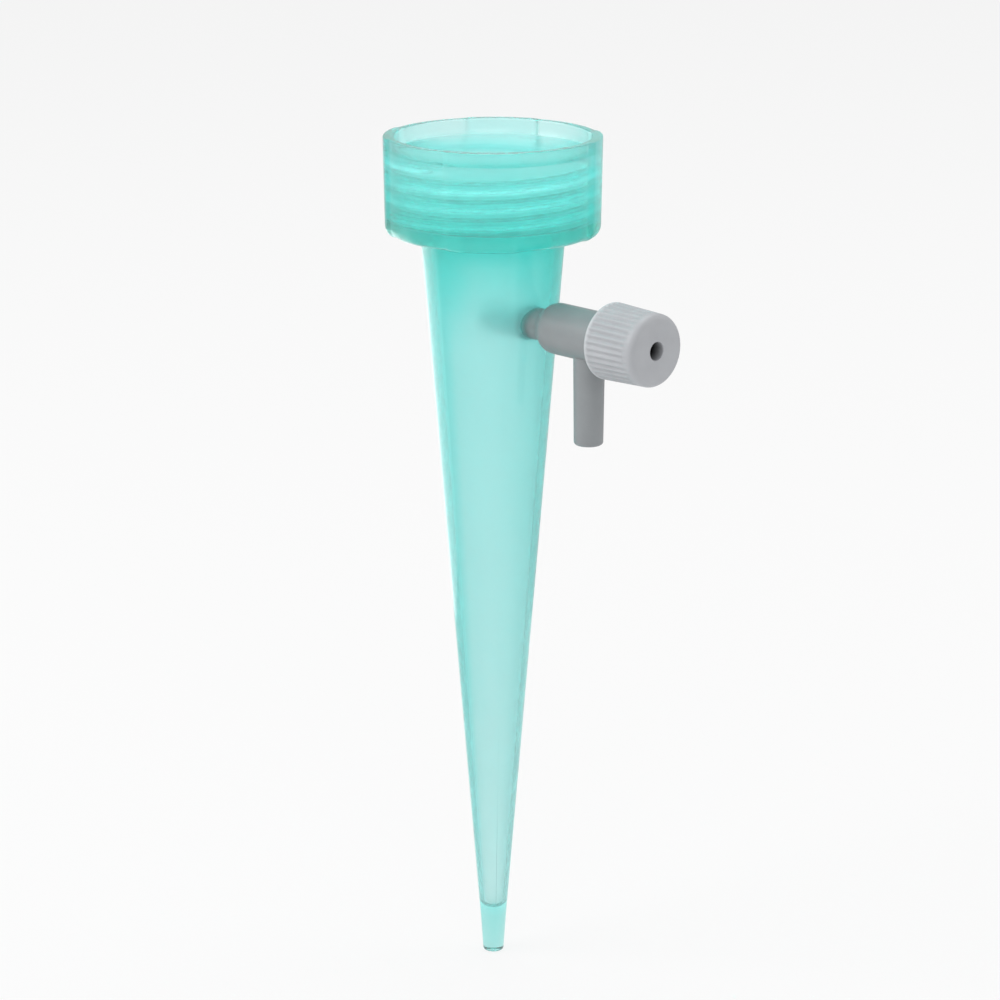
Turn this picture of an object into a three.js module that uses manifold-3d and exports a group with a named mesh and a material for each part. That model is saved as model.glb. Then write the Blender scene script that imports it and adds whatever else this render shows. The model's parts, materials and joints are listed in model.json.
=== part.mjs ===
// Plant watering spike with a screw drip valve.
//
// A hollow translucent spike carries a threaded cup for an upturned bottle. A valve is pushed into a
// port in its side, and a ribbed knob feeds the valve's needle to and from its seat.
// Millimetres, +Z up. The origin is the centre of the flat tip, +Z runs up the spike and +X along the
// valve. The valve's own frame has its axis along +Z and its spout along +X, before it is turned.

import * as THREE from 'three';
import { mergeVertices } from 'three/addons/utils/BufferGeometryUtils.js';
import Module from 'manifold-3d';

// Driving dimensions: cup, sized from the bottle neck outwards
const spikeHeight = 131.6; // tip to rim
const bottleThreadRadius = 13.7; // outside of the bottle's own thread
const bottleClearance = 0.7; // from there to the root of the cup's thread
const mouthRelief = 0.45; // plain mouth over the thread root
const mouthWall = 1.65; // mouth to the outside of a grip pad
const mouthDepth = 2.3; // plain mouth above the thread
const rimEdge = 0.25; // chamfer on both edges of the rim
const cupDepth = 15; // rim to the underside of the grip pads
const cupDraft = 0.25; // radius that the wall loses from rim to lower edge
const cupEdgeRadius = 1.5; // rounding of the lower edge
const cupFloorThickness = 2.4;
const bottleThreadPitch = 2.7;
const bottleRidgeHeight = 1.1;
const bottleRidgeRootWidth = 1.5;
const bottleRidgeCrestWidth = 0.5;
const bottleRunOut = THREE.MathUtils.degToRad(40); // angle over which the ridge fades at each end
const bottleThreadEnd = THREE.MathUtils.degToRad(-60); // where its upper end is, from the valve

// Driving dimensions: grip pads round the cup
const gripPads = 4;
const gripPadAngle = THREE.MathUtils.degToRad(40); // width of a pad
const gripStep = 0.5; // pads over the recesses between them, on the wall
const gripFoot = 0.3; // the same on the underside
const gripFootInset = 1.2; // from the cone to where the pads begin on the underside
const gripPadCentre = THREE.MathUtils.degToRad(-49); // middle of one pad, from the valve
const gripStepAngle = THREE.MathUtils.degToRad(1.6); // slope between a pad and a recess

// Driving dimensions: cone and tip
const coneTopRadius = 10.95; // under the cup
const coneTopWall = 1.45;
const coneEndWall = 0.7; // at the end of the hollow
const tipLength = 6.4; // the nearly straight end
const tipNeckRadius = 2.05; // where the cone meets that end
const tipRadius = 1.6;
const tipChamfer = 0.3;
const coreToTip = 1.2; // end of the hollow above the straight end

// Driving dimensions: port in the cone's side
const portDrop = 27.3; // rim to valve axis
const portClearance = 0.15; // round the valve's neck

// Driving dimensions: valve body
const neckRadius = 2.4;
const neckLength = 1.55; // cone to shoulder
const nippleRadius = 2.3;
const nippleLength = 8.2; // back of the barb to the inner end
const nippleBoreRadius = 1.25;
const barbHeight = 0.35; // over the neck
const barbLength = 2.2;
const barbGap = 0.3; // behind the cone's wall
const shoulderLength = 2;
const barrelRadius = 3.85;
const barrelLength = 13.5; // shoulder to threaded end
const threadedEndLength = 4.3;
const threadedEndStep = 0.6; // its root below the barrel
const turnedEdge = 0.3; // small chamfer on turned ends
const chamberRadius = 2.35;
const orificeRadius = 0.85;
const orificeLength = 1.8;
const spoutOffset = 7.1; // shoulder to spout axis
const spoutReach = 16.6; // valve axis to spout end
const spoutRootRadius = 2.35;
const spoutEndRadius = 2.2;
const spoutEndRounding = 0.5;
const spoutBoreRadius = 1.25;
const seatToSpout = 3.6; // start of the conical seat to spout axis

// Driving dimensions: knob and its feed thread
const knobLength = 9.3;
const knobBackRadius = 5.77;
const knobFrontRadius = 5.35;
const knobFaceRounding = 0.65;
const knobOverlap = 1.9; // skirt over the barrel, at rest
const knobEndWall = 1.5;
const skirtClearance = 0.2; // round the barrel
const knobRibs = 36;
const ribDepth = 0.28;
const ribEndPlace = 7.3; // knob's back to the far end of the ribs
const ribFade = 0.3; // at both ends of the ribs
const hubLength = 5.3; // end wall to the hub's open end
const hubWall = 0.75;
const holeRadius = 1.37; // hole through end wall and hub
const feedPitch = 1.2;
const feedTurns = 1; // from rest to closed, and from rest to fully open
const feedRidgeHeight = 0.5;
const feedRidgeRootWidth = 0.72;
const feedRidgeCrestWidth = 0.28;
const feedCrestClearance = 0.2; // knob's ridge over the root of the barrel's thread
const feedRunOut = THREE.MathUtils.degToRad(60);
const feedEndGap = 0.3; // ridges to the shoulders at their ends

// Driving dimensions: needle and its seal
const needleTipRadius = 0.35;
const needleStemRadius = 1.7;
const seatGap = 0.25; // left along the axis when the valve is closed
const pistonClearance = 0.2; // guiding lands in the chamber
const pistonLand = 0.6; // land in front of the groove
const pressClearance = 0.08; // needle's end in the hub
const pressLength = 2.4;
const hubGap = 0.2; // needle's shoulder to the hub
const ringSection = 0.84;
const ringClearance = 0.06; // to the chamber and to the groove
const grooveSideClearance = 0.1;
const ringToSpout = 0.35; // kept between the ring and the spout's bore when closed

// Facets
const cupColumnsPerSector = 6;
const cavitySides = 48;
const coneSides = 40;
const valveSides = 32;
const stemSides = 24;
const ringTubeSides = 8;
const bottleThreadSides = 40; // for one turn
const feedThreadSides = 24;
const arcSteps = 3;
const overshoot = 1; // cutters past the faces that they cut
const bite = 0.25; // depth to which added ridges are rooted in their walls

// Derived places: spike
const fullTurn = 2 * Math.PI;
const threadRootRadius = bottleThreadRadius + bottleClearance;
const mouthRadius = threadRootRadius + mouthRelief;
const cupRadius = mouthRadius + mouthWall;
const padUnderside = spikeHeight - cupDepth;
const cupUnderside = padUnderside + gripFoot;
const floorHeight = padUnderside + cupFloorThickness;
const mouthFloor = spikeHeight - mouthDepth;
const coreEnd = tipLength + coreToTip;
const coreTopRadius = coneTopRadius - coneTopWall;
const coreEndRadius = coneRadiusAt(coreEnd) - coneEndWall;
const portHeight = spikeHeight - portDrop;

// Derived places: valve, measured along its axis from the spike's axis
const coneFace = coneRadiusAt(portHeight);
const portRadius = neckRadius + portClearance;
const barbRadius = neckRadius + barbHeight;
const barbBack = boreFaceAt(portHeight - barbRadius, barbRadius) - barbGap;
const nippleEnd = barbBack - nippleLength;
const shoulderStart = coneFace + neckLength;
const shoulderEnd = shoulderStart + shoulderLength;
const barrelEnd = shoulderEnd + barrelLength;
const threadedEnd = barrelEnd + threadedEndLength;
const threadedRootRadius = barrelRadius - threadedEndStep;
const spoutAxis = shoulderEnd + spoutOffset;
const seatStart = spoutAxis - seatToSpout;
const orificeStart = seatStart - orificeLength;

// Derived places: moving pieces at rest
const feedTravel = feedPitch * feedTurns;
const skirtRadius = barrelRadius + skirtClearance;
const knobBack = barrelEnd - knobOverlap;
const knobFace = knobBack + knobLength;
const endWallFace = knobFace - knobEndWall;
const hubEnd = endWallFace - hubLength;
const needleTip = seatStart - orificeRadius + needleTipRadius + seatGap + feedTravel;
const ringRadius = chamberRadius - ringClearance - ringSection / 2;
const ringPlace = spoutAxis + spoutBoreRadius + ringToSpout + ringSection / 2 + feedTravel;

// Outside radius of the cone at a height.
function coneRadiusAt(height) {
  return THREE.MathUtils.mapLinear(height, tipLength, cupUnderside, tipNeckRadius, coneTopRadius);
}

// Distance of the cone's inner wall from the spike's axis, at a height and a distance to the side.
function boreFaceAt(height, side) {
  const radius = THREE.MathUtils.mapLinear(height, coreEnd, floorHeight, coreEndRadius, coreTopRadius);
  const flat = radius * Math.cos(Math.PI / cavitySides);
  return Math.sqrt(flat ** 2 - side ** 2);
}

const wasm = await Module();
wasm.setup();

// Lathe surface about Z whose points are set by place(row, column) as [radius, angle, height].
function shapedLathe(rows, columns, place) {
  const outline = Array.from({ length: rows }, (_, row) => new THREE.Vector2(1, row));
  const geometry = new THREE.LatheGeometry(outline, columns);
  const position = geometry.attributes.position;
  for (let column = 0; column <= columns; column += 1) {
    for (let row = 0; row < rows; row += 1) {
      const [radius, angle, height] = place(row, column);
      const index = column * rows + row;
      position.setXYZ(index, radius * Math.cos(angle), radius * Math.sin(angle), height);
    }
  }
  return geometry;
}

// Form turned about Z from [radius, height] points, upwards on the outside.
function turned(profile, sides) {
  const place = (row, column) => {
    const [radius, height] = profile[row];
    return [radius, ((column % sides) / sides) * fullTurn, height];
  };
  return shapedLathe(profile.length, sides, place);
}

// Points of a quarter arc, from a start angle, anticlockwise in the plane of radius and height.
function quarterArc(centre, radius, startAngle) {
  return Array.from({ length: arcSteps + 1 }, (_, step) => {
    const angle = startAngle + (step / arcSteps) * (Math.PI / 2);
    return [centre[0] + radius * Math.cos(angle), centre[1] + radius * Math.sin(angle)];
  });
}

// Plain round bar about Z between two heights.
function bar(radius, from, to, sides) {
  const geometry = new THREE.CylinderGeometry(radius, radius, to - from, sides);
  geometry.rotateX(Math.PI / 2);
  return geometry.translate(0, 0, (from + to) / 2);
}

// Form about Z laid along +X, at a height.
function sideways(geometry, height) {
  return geometry.rotateY(Math.PI / 2).translate(0, 0, height);
}

// Right-hand helical ridge about Z. It is rooted at the anchor radius and fades into it at both ends.
function threadRidge({ anchor, crest, rootWidth, crestWidth, pitch, turns, start, angle, sides, runOut }) {
  const rooted = [[anchor, -rootWidth / 2], [anchor, rootWidth / 2]];
  const tipped = [[crest, crestWidth / 2], [crest, -crestWidth / 2]];
  const loop = crest < anchor ? [...rooted, ...tipped] : [...tipped.toReversed(), ...rooted.toReversed()];
  const section = [...loop, loop[0]];
  const columns = Math.ceil(turns * sides);
  const place = (row, column) => {
    const turn = (column / columns) * turns * fullTurn;
    const toEnd = Math.min(turn, turns * fullTurn - turn);
    const size = THREE.MathUtils.clamp(toEnd / runOut, 0, 1);
    const [radius, height] = section[row];
    const climb = start + (pitch * turn) / fullTurn;
    return [anchor + size * (radius - anchor), angle + turn, climb + size * height];
  };
  return shapedLathe(section.length, columns, place);
}

// Closed mesh to boolean solid.
function solid(geometry) {
  geometry.deleteAttribute('normal');
  geometry.deleteAttribute('uv');
  const merged = mergeVertices(geometry);
  const corners = merged.index.array;
  const triVerts = [];
  for (let first = 0; first < corners.length; first += 3) {
    const [a, b, c] = corners.slice(first, first + 3);
    if (a !== b && b !== c && c !== a) {
      triVerts.push(a, b, c);
    }
  }
  const mesh = new wasm.Mesh({
    numProp: 3,
    vertProperties: Float32Array.from(merged.attributes.position.array),
    triVerts: Uint32Array.from(triVerts),
  });
  return new wasm.Manifold(mesh);
}

// Boolean solid to a named mesh with its own material.
function named(name, body, look) {
  const { vertProperties, triVerts } = body.getMesh();
  const geometry = new THREE.BufferGeometry();
  geometry.setAttribute('position', new THREE.BufferAttribute(vertProperties, 3));
  geometry.setIndex(new THREE.BufferAttribute(triVerts, 1));
  geometry.computeVertexNormals();
  const mesh = new THREE.Mesh(geometry, new THREE.MeshStandardMaterial(look));
  mesh.name = name;
  return mesh;
}

// Outside of the cup: pads and recesses take turns round it, and each pad wraps the lower edge.
function cupOutside() {
  const columns = 2 * gripPads * cupColumnsPerSector;
  const padSpacing = fullTurn / gripPads;
  const profile = (step, foot) => {
    const edgeCentre = [cupRadius - cupDraft - step - cupEdgeRadius, padUnderside + foot + cupEdgeRadius];
    return [
      [0, cupUnderside],
      [coneTopRadius + gripFootInset, cupUnderside],
      [coneTopRadius + gripFootInset + gripFoot, padUnderside + foot],
      ...quarterArc(edgeCentre, cupEdgeRadius, -Math.PI / 2),
      [cupRadius - step, spikeHeight - rimEdge],
      [cupRadius - step - rimEdge, spikeHeight],
      [0, spikeHeight],
    ];
  };
  const pad = profile(0, 0);
  const recess = profile(gripStep, gripFoot);
  const place = (row, column) => {
    const sector = Math.floor((column % columns) / cupColumnsPerSector);
    const onPad = sector % 2 === 0;
    const width = (onPad ? gripPadAngle : padSpacing - gripPadAngle) - gripStepAngle;
    const share = (column % cupColumnsPerSector) / (cupColumnsPerSector - 1);
    const angle = gripPadCentre + (sector / 2) * padSpacing + (share - 0.5) * width;
    const [radius, height] = (onPad ? pad : recess)[row];
    return [radius, angle, height];
  };
  return shapedLathe(pad.length, columns, place);
}

// Outside of the cone and tip, up into the cup's floor.
function coneOutside() {
  const inFloor = (cupUnderside + floorHeight) / 2;
  return turned([
    [0, 0],
    [tipRadius - tipChamfer, 0],
    [tipRadius, tipChamfer],
    [tipNeckRadius, tipLength],
    [coneTopRadius, cupUnderside],
    [coneTopRadius, inFloor],
    [0, inFloor],
  ], coneSides);
}

// The hollow: core of the cone, seat for the bottle's lip, thread root and plain mouth.
function spikeHollow() {
  return turned([
    [0, coreEnd],
    [coreEndRadius, coreEnd],
    [coreTopRadius, floorHeight],
    [threadRootRadius, floorHeight],
    [threadRootRadius, mouthFloor - mouthRelief],
    [mouthRadius, mouthFloor],
    [mouthRadius, spikeHeight - rimEdge],
    [mouthRadius + rimEdge, spikeHeight],
    [mouthRadius + rimEdge, spikeHeight + overshoot],
    [0, spikeHeight + overshoot],
  ], cavitySides);
}

// Thread for the bottle neck, from just above the floor to just below the mouth.
function bottleThread() {
  const top = mouthFloor - mouthRelief - bottleRidgeCrestWidth / 2;
  const bottom = floorHeight + bottleRidgeRootWidth;
  const turns = (top - bottom) / bottleThreadPitch;
  return threadRidge({
    anchor: threadRootRadius + bite,
    crest: threadRootRadius - bottleRidgeHeight,
    rootWidth: bottleRidgeRootWidth,
    crestWidth: bottleRidgeCrestWidth,
    pitch: bottleThreadPitch,
    turns,
    start: bottom,
    angle: bottleThreadEnd - turns * fullTurn,
    sides: bottleThreadSides,
    runOut: bottleRunOut,
  });
}

// Round port through the cone's wall, along +X.
function port() {
  return sideways(bar(portRadius, coreTopRadius / 2, coneFace + overshoot, valveSides), portHeight);
}

function spikeBody() {
  return solid(coneOutside())
    .add(solid(cupOutside()))
    .subtract(solid(spikeHollow()))
    .subtract(solid(port()))
    .add(solid(bottleThread()));
}

// Spout of the valve, along +X from the valve's axis.
function spout() {
  const edgeCentre = [spoutEndRadius - spoutEndRounding, spoutReach - spoutEndRounding];
  const pipe = turned([
    [0, 0],
    [spoutRootRadius, 0],
    [spoutRootRadius, barrelRadius],
    ...quarterArc(edgeCentre, spoutEndRounding, 0),
    [0, spoutReach],
  ], stemSides);
  return sideways(pipe, spoutAxis);
}

// First height on the barrel's thread, and the first on the knob's, half a pitch out of step with it.
const barrelThreadStart = barrelEnd + feedEndGap + feedRidgeRootWidth / 2;
const knobThreadLimit = barrelEnd + feedTravel + feedEndGap + feedRidgeRootWidth / 2;
const pitchesApart = Math.ceil((knobThreadLimit - barrelThreadStart) / feedPitch - 0.5) + 0.5;
const knobThreadStart = barrelThreadStart + pitchesApart * feedPitch;

// Ridge of the feed thread between two heights, on the barrel's end or in the knob's skirt.
function feedThread(anchor, crest, start, end) {
  return threadRidge({
    anchor,
    crest,
    rootWidth: feedRidgeRootWidth,
    crestWidth: feedRidgeCrestWidth,
    pitch: feedPitch,
    turns: (end - start) / feedPitch,
    start,
    angle: 0,
    sides: feedThreadSides,
    runOut: feedRunOut,
  });
}

function valveOutside() {
  return turned([
    [0, nippleEnd],
    [nippleRadius - turnedEdge, nippleEnd],
    [nippleRadius, nippleEnd + turnedEdge],
    [nippleRadius, barbBack - barbLength],
    [barbRadius, barbBack],
    [neckRadius, barbBack],
    [neckRadius, shoulderStart],
    [barrelRadius, shoulderEnd],
    [barrelRadius, barrelEnd],
    [threadedRootRadius, barrelEnd],
    [threadedRootRadius, threadedEnd - turnedEdge],
    [threadedRootRadius - turnedEdge, threadedEnd],
    [0, threadedEnd],
  ], valveSides);
}

// Water's way along the valve: nipple bore, orifice, conical seat and chamber.
function valveHollow() {
  return turned([
    [0, nippleEnd - overshoot],
    [nippleBoreRadius, nippleEnd - overshoot],
    [nippleBoreRadius, orificeStart],
    [orificeRadius, orificeStart],
    [orificeRadius, seatStart],
    [chamberRadius, seatStart + chamberRadius - orificeRadius],
    [chamberRadius, threadedEnd + overshoot],
    [0, threadedEnd + overshoot],
  ], valveSides);
}

function valveBody() {
  const spoutBore = sideways(bar(spoutBoreRadius, 0, spoutReach + overshoot, stemSides), spoutAxis);
  const threadEnd = threadedEnd - feedEndGap - feedRidgeRootWidth / 2;
  const crest = threadedRootRadius + feedRidgeHeight;
  return solid(valveOutside())
    .add(solid(spout()))
    .add(solid(feedThread(threadedRootRadius - bite, crest, barrelThreadStart, threadEnd)))
    .subtract(solid(valveHollow()))
    .subtract(solid(spoutBore));
}

// Outside of the knob: a slow taper with ribs between its plain back edge and a smooth band, and a
// rounded edge to its face.
function knobOutside() {
  const columns = 2 * knobRibs;
  const roundingStart = knobFace - knobFaceRounding;
  const radiusAt = (height) => (
    THREE.MathUtils.mapLinear(height, knobBack, roundingStart, knobBackRadius, knobFrontRadius)
  );
  const ribEnd = knobBack + ribEndPlace;
  const edgeEnd = knobBack + turnedEdge;
  const plain = [
    [radiusAt(ribEnd + ribFade), ribEnd + ribFade],
    ...quarterArc([knobFrontRadius - knobFaceRounding, roundingStart], knobFaceRounding, 0),
    [0, knobFace],
  ];
  const back = [
    [0, knobBack],
    [knobBackRadius - turnedEdge, knobBack],
    [radiusAt(edgeEnd), edgeEnd],
  ];
  const ribbed = [
    [radiusAt(edgeEnd + ribFade), edgeEnd + ribFade],
    [radiusAt(ribEnd), ribEnd],
  ];
  const profile = [...back, ...ribbed, ...plain];
  const place = (row, column) => {
    const [radius, height] = profile[row];
    const inRibs = row >= back.length && row < back.length + ribbed.length;
    const valley = inRibs && column % 2 === 1 ? ribDepth : 0;
    return [radius - valley, ((column % columns) / columns) * fullTurn, height];
  };
  return shapedLathe(profile.length, columns, place);
}

function valveKnob() {
  const skirtBore = bar(skirtRadius, knobBack - overshoot, endWallFace, valveSides);
  const hub = bar(holeRadius + hubWall, hubEnd, endWallFace + knobEndWall / 2, valveSides);
  const hole = bar(holeRadius, hubEnd - overshoot, knobFace + overshoot, valveSides);
  const threadEnd = endWallFace - feedRidgeRootWidth / 2;
  const crest = threadedRootRadius + feedCrestClearance;
  return solid(knobOutside())
    .subtract(solid(skirtBore))
    .add(solid(feedThread(skirtRadius + bite, crest, knobThreadStart, threadEnd)))
    .add(solid(hub))
    .subtract(solid(hole));
}

// Needle: cone that meets the seat, stem past the spout, lands with the ring's groove, end in the hub.
function needleStem() {
  const landRadius = chamberRadius - pistonClearance;
  const pressRadius = holeRadius * Math.cos(Math.PI / valveSides) - pressClearance;
  const grooveRadius = (ringRadius - ringSection / 2) * Math.cos(Math.PI / stemSides) - ringClearance;
  const halfGroove = ringSection / 2 + grooveSideClearance;
  const landStart = ringPlace - halfGroove - pistonLand;
  const shoulder = hubEnd - hubGap;
  const pressEnd = shoulder + pressLength;
  return turned([
    [0, needleTip],
    [needleTipRadius, needleTip],
    [needleStemRadius, needleTip + needleStemRadius - needleTipRadius],
    [needleStemRadius, landStart - (landRadius - needleStemRadius)],
    [landRadius, landStart],
    [landRadius, ringPlace - halfGroove],
    [grooveRadius, ringPlace - halfGroove],
    [grooveRadius, ringPlace + halfGroove],
    [landRadius, ringPlace + halfGroove],
    [landRadius, shoulder],
    [pressRadius, shoulder],
    [pressRadius, pressEnd - turnedEdge],
    [pressRadius - turnedEdge, pressEnd],
    [0, pressEnd],
  ], stemSides);
}

function stemRing() {
  const ring = new THREE.TorusGeometry(ringRadius, ringSection / 2, ringTubeSides, stemSides);
  return ring.translate(0, 0, ringPlace);
}

// Looks
const tealPlastic = { color: 0x74d8ca, roughness: 0.32, metalness: 0, transparent: true, opacity: 0.75 };
const greyPlastic = { color: 0x9a9fa2, roughness: 0.5, metalness: 0 };
const darkPlastic = { color: 0x333436, roughness: 0.5, metalness: 0 };
const blackRubber = { color: 0x1c1d1f, roughness: 0.8, metalness: 0 };

const waterer = new THREE.Group();
waterer.add(named('spike_body', spikeBody(), tealPlastic));

const valve = new THREE.Group();
valve.position.set(0, 0, portHeight);
valve.rotation.y = Math.PI / 2;
valve.add(named('valve_body', valveBody(), greyPlastic));
waterer.add(valve);

const feed = new THREE.Group();
feed.add(named('needle_stem', solid(needleStem()), darkPlastic));
feed.add(named('stem_o_ring', solid(stemRing()), blackRubber));
feed.add(named('valve_knob', valveKnob(), greyPlastic));
valve.add(feed);

export default waterer;
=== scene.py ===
"""Looks of a plant watering spike with a screw drip valve.

A translucent teal spike carries a threaded cup for an upturned bottle, and a grey valve with a ribbed
knob sits in its side. The classes hold their sizes in millimetres, and a finished piece is in metres, in
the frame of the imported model: the spike's tip is the origin, +Z runs up and +X runs along the valve.
"""

import json
import logging
import math
from collections.abc import Callable, Sequence
from dataclasses import dataclass, field
from enum import Enum, Flag, auto

import bmesh
import bpy
from bmesh.types import BMEdge, BMesh, BMVert
from bpy.types import Material, Node, NodeSocket, NodeTree, Object, World
from mathutils import Matrix, Vector


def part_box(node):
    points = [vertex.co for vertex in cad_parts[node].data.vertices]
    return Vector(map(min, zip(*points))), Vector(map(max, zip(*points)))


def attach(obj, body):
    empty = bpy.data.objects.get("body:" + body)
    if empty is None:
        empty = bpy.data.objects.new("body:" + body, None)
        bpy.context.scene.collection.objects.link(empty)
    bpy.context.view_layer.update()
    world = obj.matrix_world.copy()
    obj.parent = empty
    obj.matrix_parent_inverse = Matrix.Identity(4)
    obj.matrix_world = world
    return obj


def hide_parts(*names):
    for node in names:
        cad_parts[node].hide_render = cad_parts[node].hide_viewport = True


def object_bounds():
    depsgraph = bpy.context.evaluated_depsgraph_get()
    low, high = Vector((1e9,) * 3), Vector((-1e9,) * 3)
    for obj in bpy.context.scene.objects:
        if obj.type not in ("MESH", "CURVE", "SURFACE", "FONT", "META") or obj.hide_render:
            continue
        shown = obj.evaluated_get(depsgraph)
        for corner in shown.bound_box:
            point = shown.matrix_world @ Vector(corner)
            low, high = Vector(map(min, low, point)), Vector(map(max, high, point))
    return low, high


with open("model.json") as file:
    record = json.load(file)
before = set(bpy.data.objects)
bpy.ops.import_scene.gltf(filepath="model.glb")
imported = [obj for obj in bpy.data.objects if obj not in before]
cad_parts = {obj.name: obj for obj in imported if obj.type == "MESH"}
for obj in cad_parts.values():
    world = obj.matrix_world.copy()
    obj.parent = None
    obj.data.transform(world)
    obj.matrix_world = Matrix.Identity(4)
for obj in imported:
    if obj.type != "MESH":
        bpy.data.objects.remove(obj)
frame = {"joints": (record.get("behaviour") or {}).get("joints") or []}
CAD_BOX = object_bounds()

MM = 0.001
FULL_TURN = 2 * math.pi
QUARTER_TURN = math.pi / 2
IMAGE_PIXELS = 1000
SENSOR_WIDTH = 36.0
MERGE_DISTANCE = 1e-4
SMOOTH_ANGLE = math.radians(32)
CIRCLE_PROFILE = 0.5  # bevel profile of a round corner
BAR_COLUMNS = 96  # steps round a bar or a pipe
UNIT_SQUARE = 0.5  # half a side, as a grid is given
OVERSHOOT = 1.0  # a cutting tool past the piece
BITE = 0.25  # a joined form into its wall
TOE_BITE = 0.1  # share of that bite where the foot of a ridge begins

Colour = tuple[float, float, float]
Span = tuple[float, float]

WHOLE: Span = (0.0, 1.0)
NOISE_SPAN: Span = (0.3, 0.7)  # values that noise mostly takes
NOISE_CORE: Span = (0.35, 0.65)  # the same, with more of it cut off
ONE_OCTAVE = 1.0  # detail of a plain noise

log = logging.getLogger("plant_waterer")


class Mark(Flag):
    """What a vertex takes part in. Each mark has a vertex layer of its name."""

    GRIP_WALL = auto()
    GRIP_FOOT = auto()
    THREAD = auto()
    CORE = auto()
    SEAM = auto()
    # Painted shade on the cone's flanks
    FLANK_SHADE = auto()
    # Painted shade in the cup's floor corner
    FLOOR = auto()
    TIP = auto()
    RIB = auto()
    # Painted teal light on the valve's nipple inside the spike
    NIPPLE_LIGHT = auto()
    # Painted shade deep in the knob's hole
    HOLE = auto()
    # Painted highlight on the plain bead at the knob's back
    BEAD_HIGHLIGHT = auto()

    @property
    def layer(self) -> str:
        """Name of the mark's vertex layer."""
        return self.name.lower()


NO_MARK = Mark(0)


class Cut(Enum):
    """What a tool shape does to a piece, in Blender's own words."""

    JOIN = "UNION"
    TAKE_AWAY = "DIFFERENCE"


class Slot(Enum):
    """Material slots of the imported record."""

    TEAL_PLASTIC = "teal_plastic"
    GREY_PLASTIC = "grey_plastic"
    DARK_PLASTIC = "dark_plastic"
    BLACK_RUBBER = "black_rubber"


@dataclass(frozen=True)
class Corner:
    """One corner of a turned outline.

    Attributes:
        radius: Distance from the axis.
        height: Place along the axis.
        rounding: How far along its two edges the corner is rounded off.
        mark: What the corner takes part in.
    """

    radius: float
    height: float
    rounding: float = 0.0
    mark: Mark = NO_MARK


def slope(value: float, start: float, end: float) -> float:
    """Smooth share of the way from start to end, from 0 to 1."""
    share = min(max((value - start) / (end - start), 0.0), 1.0)
    return share * share * (3 - 2 * share)


def between(value: float, low: float, high: float, at_low: float, at_high: float) -> float:
    """Straight-line value between two known ones."""
    return at_low + (at_high - at_low) * (value - low) / (high - low)


def angle_of(vert: BMVert) -> float:
    """Direction of a vertex from the Z axis, from +X."""
    return math.atan2(vert.co.y, vert.co.x)


def push(vert: BMVert, outwards: float, upwards: float = 0.0) -> None:
    """Move a vertex away from the Z axis and along it."""
    angle = angle_of(vert)
    vert.co += Vector((math.cos(angle) * outwards, math.sin(angle) * outwards, upwards))


def outline_of(corners: Sequence[Corner], closed: bool, longest: float, round_steps: int) -> BMesh:
    """Draw an outline in the plane of X and Z.

    Args:
        corners: Corners in order.
        closed: Whether the last corner joins the first.
        longest: Length over which an edge is divided.
        round_steps: Edges in a rounded corner.

    Returns:
        A mesh of edges, with a vertex layer for each mark.
    """
    form = bmesh.new()
    layers = {mark: form.verts.layers.float.new(mark.layer) for mark in Mark}
    verts = []
    for corner in corners:
        vert = form.verts.new((corner.radius, 0, corner.height))
        for mark in corner.mark:
            vert[layers[mark]] = 1.0
        verts.append(vert)
    for first, second in zip(verts, verts[1:]):
        form.edges.new((first, second))
    if closed:
        form.edges.new((verts[-1], verts[0]))
    for vert, corner in zip(verts, corners):
        if corner.rounding:
            bmesh.ops.bevel(
                form, geom=[vert], offset=corner.rounding, offset_type="OFFSET", segments=round_steps,
                profile=CIRCLE_PROFILE, affect="VERTICES", material=-1,
            )
    for edge in form.edges[:]:
        cuts = math.ceil(edge.calc_length() / longest) - 1
        if cuts > 0:
            bmesh.ops.subdivide_edges(form, edges=[edge], cuts=cuts)
    return form


def close_up(form: BMesh) -> BMesh:
    """Merge the doubles of a form that closes on itself, and point its faces outwards."""
    bmesh.ops.remove_doubles(form, verts=form.verts[:], dist=MERGE_DISTANCE)
    bmesh.ops.dissolve_degenerate(form, edges=form.edges[:], dist=MERGE_DISTANCE)
    bmesh.ops.recalc_face_normals(form, faces=form.faces[:])
    if form.calc_volume(signed=True) < 0:
        bmesh.ops.reverse_faces(form, faces=form.faces[:])
    return form


def spin(
    form: BMesh,
    parts: Sequence[BMVert | BMEdge],
    angle: float,
    steps: int,
    climb: float = 0.0,
    merge: bool = False,
) -> list[BMVert | BMEdge]:
    """Sweep part of a form about Z.

    Args:
        form: The form.
        parts: Vertices and edges to sweep.
        angle: The whole angle.
        steps: Steps in it.
        climb: Rise with each step.
        merge: Whether the end joins the start.

    Returns:
        The vertices and edges at the end.
    """
    spun = bmesh.ops.spin(
        form, geom=parts, cent=(0, 0, 0), axis=(0, 0, 1), dvec=(0, 0, climb), angle=angle, steps=steps,
        use_merge=merge, use_duplicate=False,
    )
    return spun["geom_last"]


def turned(
    corners: Sequence[Corner],
    columns: int = 128,
    closed: bool = False,
    longest: float = 4.0,
    round_steps: int = 5,
) -> BMesh:
    """Turn an outline evenly about Z.

    Args:
        corners: Corners of the outline, which starts and ends on the axis unless it is closed.
        columns: Steps round the turn.
        closed: Whether the last corner joins the first.
        longest: Length over which an edge of the outline is divided.
        round_steps: Edges in a rounded corner.

    Returns:
        A closed mesh about Z.
    """
    form = outline_of(corners, closed, longest, round_steps)
    spin(form, form.verts[:] + form.edges[:], FULL_TURN, columns, merge=True)
    return close_up(form)


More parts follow.
